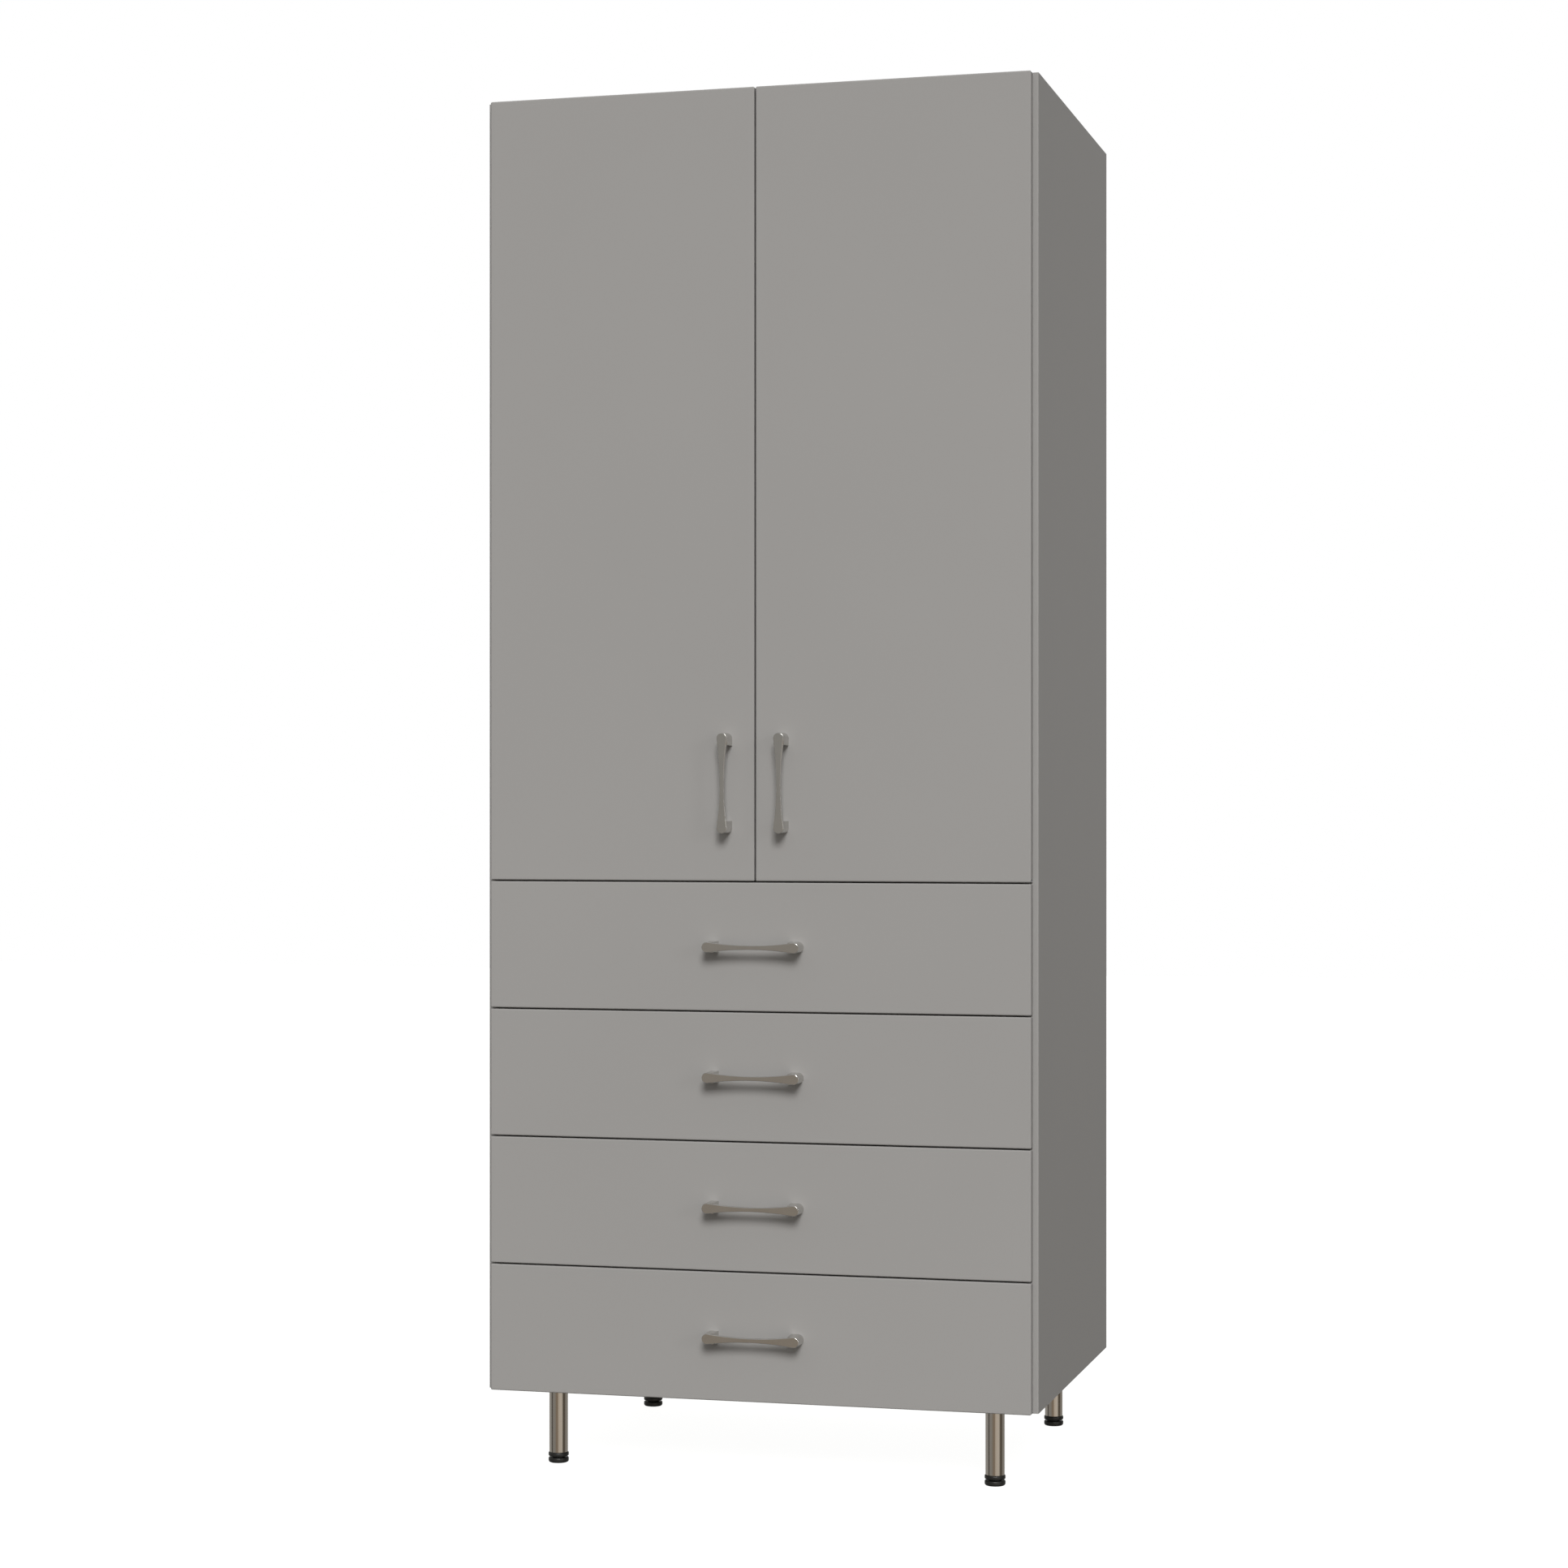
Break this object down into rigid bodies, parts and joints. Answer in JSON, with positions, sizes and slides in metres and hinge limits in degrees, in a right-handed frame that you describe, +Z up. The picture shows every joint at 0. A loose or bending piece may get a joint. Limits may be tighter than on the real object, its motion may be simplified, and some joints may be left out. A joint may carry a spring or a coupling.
{
  "type": "storage cabinet",
  "caption": "Tall sheet-steel storage cabinet with double doors over full-width drawers, bar handles and round metal legs.",
  "frame": {"origin": "on the floor, under the middle of the width and of the whole depth, handles included", "axes": "+Z up, the doors and drawers face -Y, +X to the right of someone facing them"},
  "size_m": [0.8, 0.623, 1.962],
  "materials": {
    "body_paint": "satin grey powder coat",
    "front_paint": "satin grey powder coat",
    "leg_steel": "brushed along its length",
    "handle_nickel": "satin nickel",
    "zinc_plate": "bright zinc plate",
    "black_plastic": "moulded, slightly glossy",
    "white_nylon": "moulded nylon",
    "bumper_rubber": "soft, matt"
  },
  "bodies": {
    "cabinet": {"back_panel": "body_paint", "bottom_panel": "body_paint", "bumpers": "bumper_rubber", "cupboard_floor": "body_paint", "door_catch": "black_plastic", "drawer_rails": "body_paint", "leg_end_plugs": "black_plastic", "leg_plates": "zinc_plate", "leg_screws": "zinc_plate", "leg_tubes": "leg_steel", "pivot_brackets": "zinc_plate", "pivot_pins": "zinc_plate", "shelf_clips": "zinc_plate", "shelf_lower": "body_paint", "shelf_middle": "body_paint", "shelf_upper": "body_paint", "shelf_uprights": "body_paint", "side_panel_left": "body_paint", "side_panel_right": "body_paint", "slide_channels": "zinc_plate", "slide_uprights": "body_paint", "top_panel": "body_paint"},
    "left_door": {"left_door_handle": "handle_nickel", "left_door_handle_screws": "zinc_plate", "left_door_liner": "front_paint", "left_door_pivot_blocks": "white_nylon", "left_door_skin": "front_paint"},
    "right_door": {"right_door_handle": "handle_nickel", "right_door_handle_screws": "zinc_plate", "right_door_liner": "front_paint", "right_door_pivot_blocks": "white_nylon", "right_door_skin": "front_paint"},
    "drawer_1": {"drawer_1_box": "body_paint", "drawer_1_front": "front_paint", "drawer_1_handle": "handle_nickel", "drawer_1_handle_screws": "zinc_plate", "drawer_1_slide_inner": "zinc_plate"},
    "drawer_2": {"drawer_2_box": "body_paint", "drawer_2_front": "front_paint", "drawer_2_handle": "handle_nickel", "drawer_2_handle_screws": "zinc_plate", "drawer_2_slide_inner": "zinc_plate"},
    "drawer_3": {"drawer_3_box": "body_paint", "drawer_3_front": "front_paint", "drawer_3_handle": "handle_nickel", "drawer_3_handle_screws": "zinc_plate", "drawer_3_slide_inner": "zinc_plate"},
    "drawer_4": {"drawer_4_box": "body_paint", "drawer_4_front": "front_paint", "drawer_4_handle": "handle_nickel", "drawer_4_handle_screws": "zinc_plate", "drawer_4_slide_inner": "zinc_plate"},
    "drawer_1_slides": {"drawer_1_slide_middle": "zinc_plate"},
    "drawer_2_slides": {"drawer_2_slide_middle": "zinc_plate"},
    "drawer_3_slides": {"drawer_3_slide_middle": "zinc_plate"},
    "drawer_4_slides": {"drawer_4_slide_middle": "zinc_plate"},
    "foot_front_left": {"foot_front_left": "black_plastic"},
    "foot_front_right": {"foot_front_right": "black_plastic"},
    "foot_rear_left": {"foot_rear_left": "black_plastic"},
    "foot_rear_right": {"foot_rear_right": "black_plastic"}
  },
  "joints": [
    {"name": "left_door_swing", "type": "hinge", "parent": "cabinet", "child": "left_door", "pos_m": [-0.388, -0.277, 1.405], "axis": [0, 0, -1], "range_deg": [0, 110]},
    {"name": "right_door_swing", "type": "hinge", "parent": "cabinet", "child": "right_door", "pos_m": [0.388, -0.277, 1.405], "axis": [0, 0, 1], "range_deg": [0, 110]},
    {"name": "drawer_1_slide", "type": "slide", "parent": "cabinet", "child": "drawer_1", "axis": [0, -1, 0], "range_m": [0, 0.48]},
    {"name": "drawer_1_slides_extend", "type": "slide", "parent": "cabinet", "child": "drawer_1_slides", "axis": [0, -1, 0], "range_m": [0, 0.24]},
    {"name": "drawer_2_slide", "type": "slide", "parent": "cabinet", "child": "drawer_2", "axis": [0, -1, 0], "range_m": [0, 0.48]},
    {"name": "drawer_2_slides_extend", "type": "slide", "parent": "cabinet", "child": "drawer_2_slides", "axis": [0, -1, 0], "range_m": [0, 0.24]},
    {"name": "drawer_3_slide", "type": "slide", "parent": "cabinet", "child": "drawer_3", "axis": [0, -1, 0], "range_m": [0, 0.48]},
    {"name": "drawer_3_slides_extend", "type": "slide", "parent": "cabinet", "child": "drawer_3_slides", "axis": [0, -1, 0], "range_m": [0, 0.24]},
    {"name": "drawer_4_slide", "type": "slide", "parent": "cabinet", "child": "drawer_4", "axis": [0, -1, 0], "range_m": [0, 0.48]},
    {"name": "drawer_4_slides_extend", "type": "slide", "parent": "cabinet", "child": "drawer_4_slides", "axis": [0, -1, 0], "range_m": [0, 0.24]},
    {"name": "foot_front_left_adjust", "type": "slide", "parent": "cabinet", "child": "foot_front_left", "axis": [0, 0, -1], "range_m": [0, 0.015]},
    {"name": "foot_front_right_adjust", "type": "slide", "parent": "cabinet", "child": "foot_front_right", "axis": [0, 0, -1], "range_m": [0, 0.015]},
    {"name": "foot_rear_left_adjust", "type": "slide", "parent": "cabinet", "child": "foot_rear_left", "axis": [0, 0, -1], "range_m": [0, 0.015]},
    {"name": "foot_rear_right_adjust", "type": "slide", "parent": "cabinet", "child": "foot_rear_right", "axis": [0, 0, -1], "range_m": [0, 0.015]}
  ],
  "couplings": [
    {"joint": "drawer_1_slides_extend", "follows": "drawer_1_slide", "ratio": 0.5},
    {"joint": "drawer_2_slides_extend", "follows": "drawer_2_slide", "ratio": 0.5},
    {"joint": "drawer_3_slides_extend", "follows": "drawer_3_slide", "ratio": 0.5},
    {"joint": "drawer_4_slides_extend", "follows": "drawer_4_slide", "ratio": 0.5}
  ]
}
